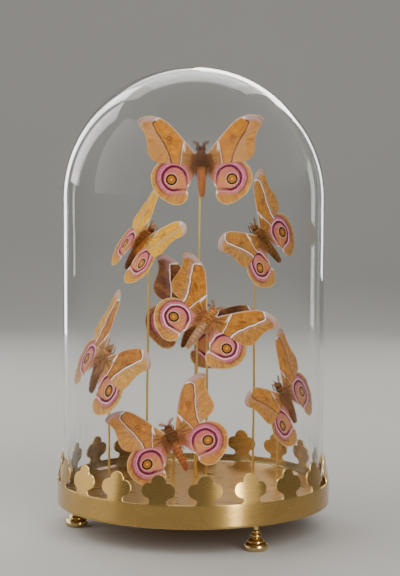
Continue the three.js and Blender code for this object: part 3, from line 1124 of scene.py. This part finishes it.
def signed_area(outline: Points) -> float:
    """Area of a closed outline, positive where it runs counterclockwise."""
    after = np.roll(outline, -1, axis=0)
    return float((outline[:, 0] * after[:, 1] - after[:, 0] * outline[:, 1]).sum() / 2)


class ForeWing(WingPlan):
    """The fore wing, with its two cross lines, the spot between them and the pale front edge."""

    outline_points = (
        (3.3, 0), (15.2, 14.7), (22.8, 23.7), (31.3, 32.3), (38.1, 36.6), (44.1, 38.5), (50.8, 38.8),
        (56.5, 37.3), (59.6, 34.1), (58.2, 29.7), (54.1, 24.2), (52.2, 19), (51.2, 12.3), (50.6, 5.7),
        (48.6, 0), (45.1, -3.4), (39.8, -5.5), (28.5, -6.2), (17.1, -7.6), (7.6, -7.1), (3.3, -4.7),
    )
    inner_points = ((14.6, 18.0), (16.4, 12.6), (17.6, 6.6), (19.0, 0.0), (19.6, -6.2), (20.0, -12.0))
    outer_points = (
        (33.0, 40.6), (39.4, 36.1), (44.9, 31.8), (43.6, 27.0), (39.8, 19.9), (35.5, 12.6),
        (31.6, 4.7), (28.9, -2.8), (28.2, -12.0),
    )
    spot_at = (30.0, 17.1)
    vein_origin = (27.5, 14.0)
    vein_ends = ((52, 38.6), (58.5, 30.5), (54, 23.5), (52, 15.5), (51.2, 8), (49, 0.5), (43, -4.6), (34, -6))
    cell = ((3.5, -1.0), (14, 9.5), (24, 18.5), (27.5, 14.0), (22, 7.5), (12, 1.0), (3.5, -2.5))

    def __init__(self, spacing: float) -> None:
        """Adds the fore wing's own distances."""
        super().__init__(spacing)
        front = smooth_curve(self.outline_points[:9], 8)
        self.values["front"] = np.abs(signed_distance(self.points, front))
        self.values["inner_line"] = signed_distance(self.points, smooth_curve(self.inner_points, 8))
        self.values["outer_line"] = signed_distance(self.points, smooth_curve(self.outer_points, 8))
        self.values["spot"] = self._distance_to(self.spot_at)


class HindWing(WingPlan):
    """The hind wing, with its eye, the drop-shaped ring round it and two white tufts on the inner edge."""

    outline_points = (
        (3.3, -3.8), (13.3, -1.9), (28.5, -1.9), (38, -4.3), (43.2, -8.1), (46.8, -13.3), (48.2, -19.4),
        (47.4, -25.6), (44.6, -32.3), (39.4, -38.4), (32.3, -43.1), (25.1, -45.7), (18.5, -44.4),
        (14.5, -40.3), (13.1, -35.6), (13.9, -30.4), (11.9, -27), (9, -20.4), (5.7, -13.3), (3.3, -8.5),
    )
    eye_at = np.array((28.7, -21.5))
    ring_at = np.array((25.9, -20.2))
    ring_radius = 11.4
    ring_tip = np.array((12.8, -30.9))
    tufts = np.array(((12.1, -27.6), (13.6, -34.0)))
    vein_origin = (15.0, -9.0)
    vein_ends = (
        (38, -4.6), (46, -13), (48, -20), (47, -27), (42, -35.5), (35, -41.5), (26, -45.4), (15, -31),
    )
    cell = ((4.0, -5.0), (15.0, -9.0))

    def __init__(self, spacing: float) -> None:
        """Adds the hind wing's own distances."""
        super().__init__(spacing)
        towards_tip = (self.ring_tip - self.eye_at) / np.linalg.norm(self.ring_tip - self.eye_at)
        self.values["pupil"] = self._distance_to(self.eye_at)
        self.values["ring"] = drop_distance(self.points, self.ring_at, self.ring_radius, self.ring_tip)
        self.values["inward"] = (self.points - self.eye_at) @ towards_tip
        self.values["outward"] = (self.points - self.ring_at) @ np.array([0.93, 0.37])
        self.values["height"] = self.points[:, 1].copy()
        self.values["tuft"] = np.min([self._distance_to(tuft) for tuft in self.tufts], axis=0)


@dataclass
class MothWings:
    """The four wings of one moth, as thin closed sheets."""

    pose: Pose
    fore_plan: ForeWing
    hind_plan: HindWing
    finishes: Materials
    seed: float
    thickness: float = 0.3

    def _relief(self, reach: np.ndarray, ahead: np.ndarray) -> np.ndarray:
        """Height of the wing surface over its plane: an arch, flutes between the rays, and a slow wave."""
        distance = np.hypot(reach, ahead)
        bearing = np.arctan2(ahead, reach)
        arch = 1.2 * np.sin(np.pi * np.clip(distance / 62, 0, 1)) - 0.3
        grown = np.clip(distance / 40, 0, 1) ** 1.5
        flutes = 0.22 * np.sin(bearing * 21 + self.seed) * grown
        wave = 0.6 * np.sin(reach * 0.075 + self.seed) * np.sin(ahead * 0.06 + 1.7 * self.seed) * grown
        return arch + flutes + wave

    def _sheet(
        self, plan: WingPlan, side: int, lift: float, sweep: float, level: float, finish: int
    ) -> Surface:
        """Bends one flat plan into place.

        Args:
            plan: the flat wing.
            side: 1 for the right wing, -1 for the left.
            lift, sweep: rise of the wing and turn towards the head, in radians.
            level: height of the wing's plane over the body's middle.
            finish: number of its material.
        """
        out, y = plan.points[:, 0] - WING_ROOT, plan.points[:, 1]
        reach = out * math.cos(sweep) - y * math.sin(sweep)
        ahead = out * math.sin(sweep) + y * math.cos(sweep)
        height = level + self._relief(reach, ahead) + reach * math.sin(lift)
        across = side * (WING_ROOT + reach * math.cos(lift))
        vein_ridge = 0.1 * np.clip(1 - plan.values["vein"] / 0.6, 0, 1)
        half = self.thickness / 2
        thin = np.clip(plan.values["rim"] / 0.6, 0.35, 1)
        top = np.stack([across, ahead, height + half * thin + vein_ridge], 1)
        low = np.stack([across, ahead, height - half * thin + vein_ridge], 1)
        count, border = len(plan.points), len(plan.outline)
        under = [tuple(count + i for i in t[::-1]) for t in plan.triangles]
        faces = [tuple(t) for t in plan.triangles] + under
        for k in range(border):
            after = (k + 1) % border
            faces.append((k, count + k, count + after, after))
        if side < 0:
            faces = [face[::-1] for face in faces]
        values = {key: np.concatenate([value, value]) for key, value in plan.values.items()}
        values["under"] = np.repeat([0.0, 1.0], count)
        return Surface(np.vstack([top, low]), faces, values, finish)

    def build(self) -> Object:
        """Makes the four wings and sets them in the case."""
        sheets = []
        for index, side in enumerate((-1, 1)):
            angles = (self.pose.lift, self.pose.fore, self.pose.hind)
            lift, fore, hind = (math.radians(pair[index]) for pair in angles)
            sheets.append(self._sheet(self.fore_plan, side, lift, fore, WING_LEVEL, 0))
            sheets.append(self._sheet(self.hind_plan, side, lift, hind, -WING_LEVEL, 1))
        sheets = [sheet.moved(self.pose.to_case(sheet.points)) for sheet in sheets]
        wings = build_object("moth_" + self.pose.place + "_wings", sheets, self.finishes, 180)
        claim(wings, "moth_scales", "moth_" + self.pose.place)
        return wings


class Hair(IntEnum):
    """Material slots of a moth's body."""

    FUR = 0
    ABDOMEN = 1
    PLUME = 2


@dataclass
class MothBody:
    """Body, hair, antennae and legs of one moth."""

    pose: Pose
    finishes: Materials
    seed: int
    profile: Sequence[tuple[float, float]] = (
        (-37.5, 0.0), (-36.9, 1.0), (-33, 2.2), (-27, 3.0), (-20, 3.4), (-13.5, 3.3), (-10.5, 3.4), (-7, 4.4),
        (-3, 5.0), (1.5, 4.7), (4.2, 3.4), (5.4, 2.7), (7.2, 2.8), (9.2, 1.9), (10, 0.0),
    )

    def __post_init__(self) -> None:
        """Starts the moth's own random numbers."""
        self.random = np.random.default_rng(self.seed)
        self.outline = smooth_curve(self.profile, 5)

    def _radius(self, along: np.ndarray) -> np.ndarray:
        """Radius of the body at places along it, with the rings of the abdomen."""
        radius = np.interp(along, self.outline[:, 0], np.clip(self.outline[:, 1], 0, None))
        rings = 1 + 0.07 * np.abs(np.sin(np.pi * (along - WAIST) / 3.9))
        return radius * np.where(along < WAIST, rings, 1.0)

    def _drooped(self, points: Points) -> Points:
        """Bends the abdomen down behind the waist."""
        bent = points.copy()
        bent[:, 2] += np.minimum(points[:, 1] - WAIST, 0) * math.tan(math.radians(self.pose.droop))
        return bent

    def _skin(self) -> list[Surface]:
        """The abdomen and the thorax under their hair."""
        along = np.linspace(-37.5, 10, 76)
        profile = np.stack([self._radius(along), along], 1)
        profile[0, 0], profile[-1, 0] = 0, 0
        surface = revolved(profile, 28)
        points = surface.points[:, [0, 2, 1]] * [1, 1, -1]
        lumps = 1 + 0.06 * np.sin(points[:, 1] * 1.9 + 3 * np.arctan2(points[:, 2], points[:, 0]))
        points[:, [0, 2]] *= lumps[:, None]
        tone = 0.42 + 0.2 * np.sin(points[:, 1] * 2 * np.pi / 3.9)
        skins, seam = [], WAIST + 0.5
        for finish in (Hair.ABDOMEN, Hair.FUR):
            behind = finish is Hair.ABDOMEN
            faces = [face for face in surface.faces if (points[list(face), 1].mean() < seam) == behind]
            skins.append(Surface(self._drooped(points), faces, {"tone": tone}, finish))
        return skins

    def _coat(
        self, count: int, span: tuple[float, float], length: float, rise: float, lean: float, finish: int
    ) -> Surface:
        """Hair over a stretch of the body.

        Args:
            count: number of hairs.
            span: where the stretch starts and ends along the body.
            length: mean length of a hair.
            rise: how far a hair stands off the body.
            lean: how far it lies towards the tail, or towards the head if negative.
            finish: number of its material.
        """
        along = self.random.uniform(*span, count)
        turn = self.random.uniform(0, 2 * np.pi, count)
        outwards = np.stack([np.cos(turn), np.zeros(count), np.sin(turn)], 1)
        radius = self._radius(along) * 0.94
        roots = outwards * radius[:, None] + np.stack([np.zeros(count), along, np.zeros(count)], 1)
        heading = unit(outwards * rise + self.random.normal(0, 0.22, (count, 3)) + [0, -lean, 0])
        lengths = length * self.random.uniform(0.6, 1.3, count)
        sag = outwards * -0.3
        sag[:, 1] = -0.35 * np.sign(lean)
        tone = np.clip(self.random.normal(0.55, 0.32, count), 0, 1)
        coat = hairs(self._drooped(roots), heading, lengths, 0.13, sag * length * 0.4, tone)
        coat.finish = finish
        return coat

    def _shoulder(self, side: int) -> Surface:
        """Long hair that fans out over the wing roots."""
        count = 460
        x = self.random.uniform(2.2, 7.5, count) * side
        y = self.random.uniform(-12, 2.5, count)
        roots = np.stack([x, y, 0.9 + 0.3 * self.random.random(count)], 1)
        fan = np.radians(12 + 66 * np.clip(-y / 12, 0, 1)) + self.random.normal(0, 0.2, count)
        heading = np.stack([side * np.cos(fan), -np.sin(fan), self.random.uniform(0.02, 0.2, count)], 1)
        heading = unit(heading)
        lengths = self.random.uniform(3.5, 13.0, count) * (0.45 + 0.55 * np.clip(-y / 6, 0, 1))
        sag = np.tile([0, -0.4, -0.45], (count, 1))
        tone = np.clip(self.random.normal(0.7, 0.28, count), 0, 1)
        lift = math.radians(self.pose.lift[0 if side < 0 else 1])
        roots[:, 2] += (np.abs(roots[:, 0]) - WING_ROOT) * math.sin(lift)
        fringe = hairs(roots, heading, lengths, 0.09, sag, tone)
        fringe.finish = Hair.PLUME
        return fringe

    def _antenna(self, side: int) -> list[Surface]:
        """A comb-toothed antenna."""
        route = [(0.9, 8.2, 1.0), (2.4, 10.6, 1.8), (4.8, 12.9, 1.8), (8.0, 14.4, 1.0)]
        stem = smooth_curve(np.array(route) * [side, 1, 1], 6)
        shaft = tube(stem, np.linspace(0.24, 0.08, len(stem)), 5)
        shaft.values["tone"] = np.full(len(shaft.points), 0.35)
        rows = evenly(stem, 0.26)[1:-1]
        heading = unit(np.gradient(rows, axis=0))
        aside = np.cross(heading, [0, 0, 1])
        bulge = 3.0 * np.sin(np.pi * np.linspace(0.14, 0.96, len(rows))) ** 0.8
        teeth = []
        for way in (-1, 1):
            lean = unit(way * aside + 0.5 * heading)
            teeth.append(hairs(rows, lean, bulge, 0.1, heading * 0.3, np.full(len(rows), 0.5)))
        for part in (shaft, *teeth):
            part.finish = Hair.PLUME
        return [shaft, *teeth]

    def _legs(self, side: int) -> list[Surface]:
        """Three folded legs under the body."""
        routes = (
            [(1.8, 4.5, -2.6), (4.4, 7.2, -3.6), (3.2, 11.2, -3.2), (2.4, 13.2, -3.6)],
            [(2.4, 0.5, -3.6), (6.0, 1.5, -4.4), (7.6, -3.5, -4.2), (6.8, -7.5, -4.6)],
            [(2.4, -5.0, -3.4), (5.4, -8.5, -4.4), (4.8, -14.0, -4.4), (5.4, -17.5, -4.6)],
        )
        legs = []
        for route in routes:
            path = smooth_curve(np.array(route) * [side, 1, 1], 4)
            leg = tube(path, np.linspace(0.62, 0.26, len(path)), 6)
            leg.values["tone"] = np.full(len(leg.points), 0.3)
            legs.append(leg)
        return legs

    def _eye(self, side: int) -> Surface:
        """A dark round eye."""
        turn = np.linspace(-np.pi / 2, np.pi / 2, 9)
        across = np.clip(1.25 * np.cos(turn), 0, None) * (np.abs(turn) < 1.5)
        ball = revolved(np.stack([across, 1.25 * np.sin(turn)], 1), 14)
        eye = ball.moved(ball.points + [side * 2.3, 7.0, -0.2])
        eye.values["tone"] = np.zeros(len(eye.points))
        return eye

    def build(self) -> Object:
        """Makes the body and sets it in the case."""
        parts = [
            *self._skin(),
            self._coat(1800, (-9.5, 5.0), 2.4, 0.7, 1.0, Hair.FUR),
            self._coat(420, (5.0, 9.4), 1.7, 1.0, -0.4, Hair.FUR),
            self._coat(360, (-9.0, 5.2), 3.4, 0.8, 0.9, Hair.PLUME),
            self._coat(1900, (-37, -8.0), 1.9, 0.6, 1.0, Hair.ABDOMEN),
        ]
        for side in (-1, 1):
            parts += [self._shoulder(side), self._eye(side), *self._antenna(side), *self._legs(side)]
        parts = [part.moved(self.pose.to_case(part.points)) for part in parts]
        body = build_object("moth_" + self.pose.place + "_body", parts, self.finishes, 180)
        claim(body, "moth_scales", "moth_" + self.pose.place)
        return body


@dataclass
class MountingRod:
    """The rod of one moth, from the plate to the underside of its thorax."""

    pose: Pose
    finish: Material
    reach: float = -2.5
    depth: float = 5.1

    def build(self) -> Object:
        """Makes the rod with softened ends."""
        radius = CASE.rod_radius
        top = self.pose.to_case(np.array([[0, self.reach, -(self.depth + radius / self.pose.size)]]))[0]
        foot = np.array([*self.pose.foot, CASE.plate_top + 0.05])
        stretch = np.linalg.norm(top - foot)
        way = (top - foot) / stretch
        middle = np.linspace(1, stretch - 1, 12)
        stations = np.concatenate([[0, ROD_TIP], middle, [stretch - ROD_TIP, stretch]])
        radii = np.full(len(stations), radius)
        radii[[0, -1]] = radius - ROD_BEVEL
        surface = tube(foot + stations[:, None] * way, radii, 20)
        surface.values["grain"] = surface.points[:, [2, 0, 1]] * [1, 2, 2]
        rod = surface.to_object("rod_" + self.pose.place + "_drawn", [self.finish], 35)
        claim(rod, "rod_brass", "rod_" + self.pose.place)
        return rod


POSES = (
    Pose("top", (6.9, -1, 328.4), 3, -4, 1, 1.0, (5, 5), (0, 0), (0, 0), 2, (1, 3),
         MothColours(inner=srgb(198, 136, 76), middle=srgb(216, 134, 44), outer=srgb(218, 150, 84),
                     margin=srgb(228, 158, 62), pink=srgb(202, 118, 88), base=srgb(146, 88, 42),
                     fur=srgb(120, 76, 42), abdomen=srgb(222, 132, 62), line=LineStyle.DARK, halo=0.2)),
    Pose("upper_left", (-45.1, 0, 253.5), -58, -32, -24, 0.99, (-5, 1), (-2, -1), (-3, 5), 11, (-45.5, 0),
         MothColours(inner=srgb(246, 176, 10), middle=srgb(253, 186, 2), outer=srgb(255, 194, 6),
                     margin=srgb(252, 182, 2), pink=srgb(236, 130, 96), base=srgb(206, 130, 50),
                     fur=srgb(150, 84, 34), abdomen=srgb(150, 82, 38), line=LineStyle.FAINT, halo=0.7,
                     mottle=srgb(252, 176, 0))),
    Pose("upper_right", (62.8, 20, 254.7), 50, -16, 39, 0.98, (0, 3), (-2, 0), (5, -3), 0, (58, 22),
         MothColours(inner=srgb(206, 138, 60), middle=srgb(200, 132, 58), outer=srgb(196, 142, 82),
                     margin=srgb(226, 170, 82), pink=srgb(232, 160, 146), base=srgb(190, 130, 72),
                     fur=srgb(150, 96, 44), abdomen=srgb(168, 110, 52), line=LineStyle.WHITE)),
    Pose("centre", (15.3, -24, 179.5), 13, -22, -39, 0.97, (-4, 2), (5, -1), (-2, 8), 12, (12.6, -20),
         MothColours(inner=srgb(208, 132, 44), middle=srgb(202, 124, 36), outer=srgb(192, 130, 62),
                     margin=srgb(226, 164, 70), pink=srgb(232, 142, 140), base=srgb(214, 140, 84),
                     fur=srgb(228, 152, 72), abdomen=srgb(246, 192, 142), line=LineStyle.WHITE, halo=1.0)),
    # This moth's fore wing colours and blotches are painted darker than its own colour: painted shade for the
    # shadow of the moths in front of it.
    Pose("behind", (4.1, 36, 175.5), 21, -24, -33, 1.03, (-3, -1), (1, -3), (-10, -6), 0, (3.3, 39),
         MothColours(inner=srgb(100, 58, 34), middle=srgb(88, 48, 28), outer=srgb(134, 90, 72),
                     margin=srgb(208, 150, 92), pink=srgb(206, 130, 120), base=srgb(150, 96, 62),
                     fur=srgb(120, 70, 36), abdomen=srgb(170, 104, 56), mottle=srgb(132, 78, 44))),
    Pose("left", (-83.4, -24, 141.9), -58, -22, -29, 1.08, (-8, -7), (3, -1), (-1, 15), 18, (-79.5, -20),
         MothColours(inner=srgb(222, 154, 84), middle=srgb(188, 110, 44), outer=srgb(246, 186, 102),
                     margin=srgb(246, 190, 98), pink=srgb(244, 170, 148), base=srgb(220, 162, 108),
                     fur=srgb(214, 150, 92), abdomen=srgb(196, 132, 76), line=LineStyle.WHITE)),
    Pose("right", (83.5, -22, 107.8), 54, -18, 33, 0.975, (2, -2), (-1, 0), (8, -3), 15, (79.5, -17),
         MothColours(inner=srgb(210, 132, 54), middle=srgb(214, 132, 48), outer=srgb(210, 144, 70),
                     margin=srgb(226, 158, 72), pink=srgb(222, 124, 124), base=srgb(186, 120, 66),
                     fur=srgb(160, 100, 50), abdomen=srgb(186, 116, 56), line=LineStyle.DARK)),
    Pose("front", (-20.2, -56, 72.5), -16, -28, 30, 0.98, (1, -5), (10, 11), (9, 2), 5, (-18, -51.5),
         MothColours(inner=srgb(206, 136, 74), middle=srgb(208, 132, 66), outer=srgb(214, 148, 84),
                     margin=srgb(232, 150, 60), pink=srgb(228, 116, 110), base=srgb(196, 122, 74),
                     fur=srgb(140, 88, 48), abdomen=srgb(224, 134, 72), line=LineStyle.FINE, halo=0.3)),
)


# ---------------------------------------------------------------------------------------------
# Studio
# ---------------------------------------------------------------------------------------------


LAMP_PALE = (1.0, 0.97, 0.93)
LAMP_WARM = (1.0, 0.97, 0.92)
LAMP_GOLD = (1.0, 0.97, 0.9)


@dataclass(frozen=True)
class SoftLight:
    """A soft lamp that looks at the dome's axis.

    Attributes:
        bearing: direction from the dome, in degrees from the front towards +X.
        distance, height: where it stands, in metres.
        size: width and height in metres.
        power: in watts.
        warmth: its colour.
        aim: height of the place that it looks at, in metres.
        hidden: whether it gives light without being mirrored.
        for_brass: whether only the brass sees it.
    """

    name: str
    bearing: float
    distance: float
    height: float
    size: tuple[float, float]
    power: float
    warmth: tuple[float, float, float] = (1.0, 1.0, 1.0)
    aim: float = 0.24
    hidden: bool = False
    for_brass: bool = False

    def build(self) -> None:
        """Hangs the lamp."""
        data = bpy.data.lights.new(self.name, "AREA")
        data.shape = "RECTANGLE"
        data.size, data.size_y = self.size
        data.energy = self.power
        data.color = self.warmth
        lamp = bpy.data.objects.new(self.name, data)
        angle = math.radians(self.bearing)
        lamp.location = (self.distance * math.sin(angle), -self.distance * math.cos(angle), self.height)
        look = Vector((0, 0, self.aim)) - lamp.location
        lamp.rotation_euler = look.to_track_quat("-Z", "Y").to_euler()
        lamp.visible_glossy = not self.hidden
        if self.for_brass:
            lamp.light_linking.receiver_collection = brass_pieces()
        bpy.context.scene.collection.objects.link(lamp)


@dataclass(frozen=True)
class Studio:
    """Floor, surrounding light, lamps and camera."""

    camera_at: tuple[float, float, float] = (0.0, -1.560, 0.36092)
    pitch: float = -4.808
    yaw: float = 0.223
    roll: float = 0.140
    lens: float = 102.8
    lights: tuple[SoftLight, ...] = (
        SoftLight("left_soft", -70, 1.7, 1.25, (2.0, 1.9), 46, LAMP_WARM, hidden=True),
        SoftLight("front_soft", 22, 2.3, 1.6, (2.8, 2.5), 112, LAMP_PALE, hidden=True),
        SoftLight("left_window", -128, 1.6, 1.0, (0.5, 1.2), 7, LAMP_PALE),
        SoftLight("brass_strip", 33, 1.2, 0.34, (0.16, 0.7), 12, LAMP_GOLD, for_brass=True, aim=0.06),
        SoftLight("brass_panel", 36, 1.3, 0.42, (0.9, 0.36), 3, LAMP_GOLD, for_brass=True, aim=0.06),
        SoftLight("back_soft", 184, 0.9, 1.15, (1.2, 0.7), 8, LAMP_PALE, hidden=True),
        SoftLight("brass_left", -94, 1.3, 0.36, (1.5, 0.7), 7.5, LAMP_GOLD, for_brass=True, aim=0.06),
        SoftLight("brass_top", -20, 0.3, 1.6, (1.0, 1.0), 16, LAMP_WARM, for_brass=True, aim=0.06),
        SoftLight("left_rim", -150, 1.5, 0.7, (0.3, 1.5), 5),
        SoftLight("right_rim", 152, 1.5, 0.6, (0.12, 1.0), 1.6),
        SoftLight("back_top", 180, 1.0, 1.5, (1.0, 0.6), 1.6),
        SoftLight("back_low", 165, 1.7, 1.05, (0.9, 0.45), 8, (1.0, 0.96, 0.9), hidden=True),
    )

    def _camera(self) -> None:
        """Places the camera."""
        data = bpy.data.cameras.new("camera")
        data.lens, data.sensor_width = self.lens, 36.0
        data.clip_start, data.clip_end = 0.05, 60.0
        camera = bpy.data.objects.new("camera", data)
        pitch, yaw, roll = (math.radians(a) for a in (self.pitch, self.yaw, self.roll))
        ahead = Vector((math.sin(yaw) * math.cos(pitch), math.cos(yaw) * math.cos(pitch), math.sin(pitch)))
        level = Vector((math.cos(yaw), -math.sin(yaw), 0))
        up = level.cross(ahead)
        right = math.cos(roll) * level + math.sin(roll) * up
        up = math.cos(roll) * up - math.sin(roll) * level
        rotation = Matrix((right, up, -ahead)).transposed()
        camera.matrix_world = Matrix.Translation(self.camera_at) @ rotation.to_4x4()
        bpy.context.scene.collection.objects.link(camera)
        bpy.context.scene.camera = camera

    def _floor(self) -> None:
        """Lays the pale floor, which sweeps up into a backdrop."""
        turn = np.linspace(0, math.pi / 2, 24)
        sweep = np.column_stack([1700 + 1300 * np.sin(turn), 1300 * (1 - np.cos(turn))])
        line = np.vstack([[-6000, 0], [0, 0], sweep, [3000, 4500]])
        points = [(x, y, z) for y, z in line for x in (-5000, 5000)]
        faces = [(2 * k, 2 * k + 1, 2 * k + 3, 2 * k + 2) for k in range(len(line) - 1)]
        tree = Tree("pale_floor")
        tree.surface(Base_Color=srgb(166, 164, 161), Roughness=0.7, Specular_IOR_Level=0.3)
        floor = Surface(np.array(points, dtype=float), faces).to_object("floor", [tree.material])

    def _surroundings(self) -> None:
        """Fills the room with soft light."""
        world = bpy.data.worlds.new("soft_room")
        bpy.context.scene.world = world
        world.use_nodes = True
        world.node_tree.nodes["Background"].inputs["Color"].default_value = (0.95, 0.98, 1.0, 1)
        world.node_tree.nodes["Background"].inputs["Strength"].default_value = 0.16

    def build(self) -> None:
        """Sets the whole studio up."""
        self._camera()
        self._floor()
        self._surroundings()
        for light in self.lights:
            light.build()


@dataclass
class MothDome:
    """The whole object."""

    wing_spacing: float = 0.85

    def build_case(self) -> None:
        """Builds glass, base, and feet."""
        band = BrushedBrass(
            "band_brass", srgb(186, 152, 90), srgb(172, 138, 78), roughness=0.26, marks=0.02,
            anisotropy=0.8, rotation=0.25, satin_inside=0.5,
        )
        plate = BrushedBrass("plate_brass", srgb(206, 150, 54), srgb(182, 126, 38), 0.28, 0.06, metal=0.85)
        polished = BrushedBrass("foot_brass", srgb(222, 196, 138), srgb(204, 176, 116), 0.18, 0.05)
        GalleryBand(band.material()).build()
        BasePlate(plate.material()).build()
        foot_finish = polished.material()
        for place, angle in (("front", 30.5), ("left", -89.5), ("back", 150.5)):
            TurnedFoot(place, angle, foot_finish).build()
        glass = ClearGlass("clear_glass", srgb(250, 252, 251), 1.45, (0.08, 0.08, 0.08, 1))
        GlassDome(glass.material()).build()

    def _coats(self, pose: Pose) -> Materials:
        """Makes the hair of one moth: thorax and head, abdomen, and plumes."""
        paint = pose.colours
        shares = (
            ("fur", paint.fur, 0.12, 1.7),
            ("abdomen", paint.abdomen, 0.4, 1.1),
            ("plume", paint.base, 0.15, 1.3),
        )
        return [
            Fur("moth_" + pose.place + "_" + name, deeper(shade, dark), deeper(shade, pale)).material()
            for name, shade, dark, pale in shares
        ]

    def build_moths(self) -> None:
        """Builds every moth with its rod."""
        fore_plan, hind_plan = ForeWing(self.wing_spacing), HindWing(self.wing_spacing)
        drawn = BrushedBrass("rod_brass", srgb(240, 208, 124), srgb(220, 182, 96), 0.36, 0.1, metal=0.8)
        rod_finish = drawn.material()
        for number, pose in enumerate(POSES):
            scales = WingScales("moth_" + pose.place, pose.colours, 5.3 * number)
            wings = MothWings(pose, fore_plan, hind_plan, (scales.fore(), scales.hind()), 1.9 * number)
            wings.build()
            MothBody(pose, self._coats(pose), 100 + number).build()
            MountingRod(pose, rod_finish).build()


def main() -> None:
    """Builds the scene."""
    logging.basicConfig(level=logging.INFO, format="%(name)s: %(message)s")
    Studio().build()
    dome = MothDome()
    dome.build_case()
    dome.build_moths()


if __name__ == "__main__":
    main()
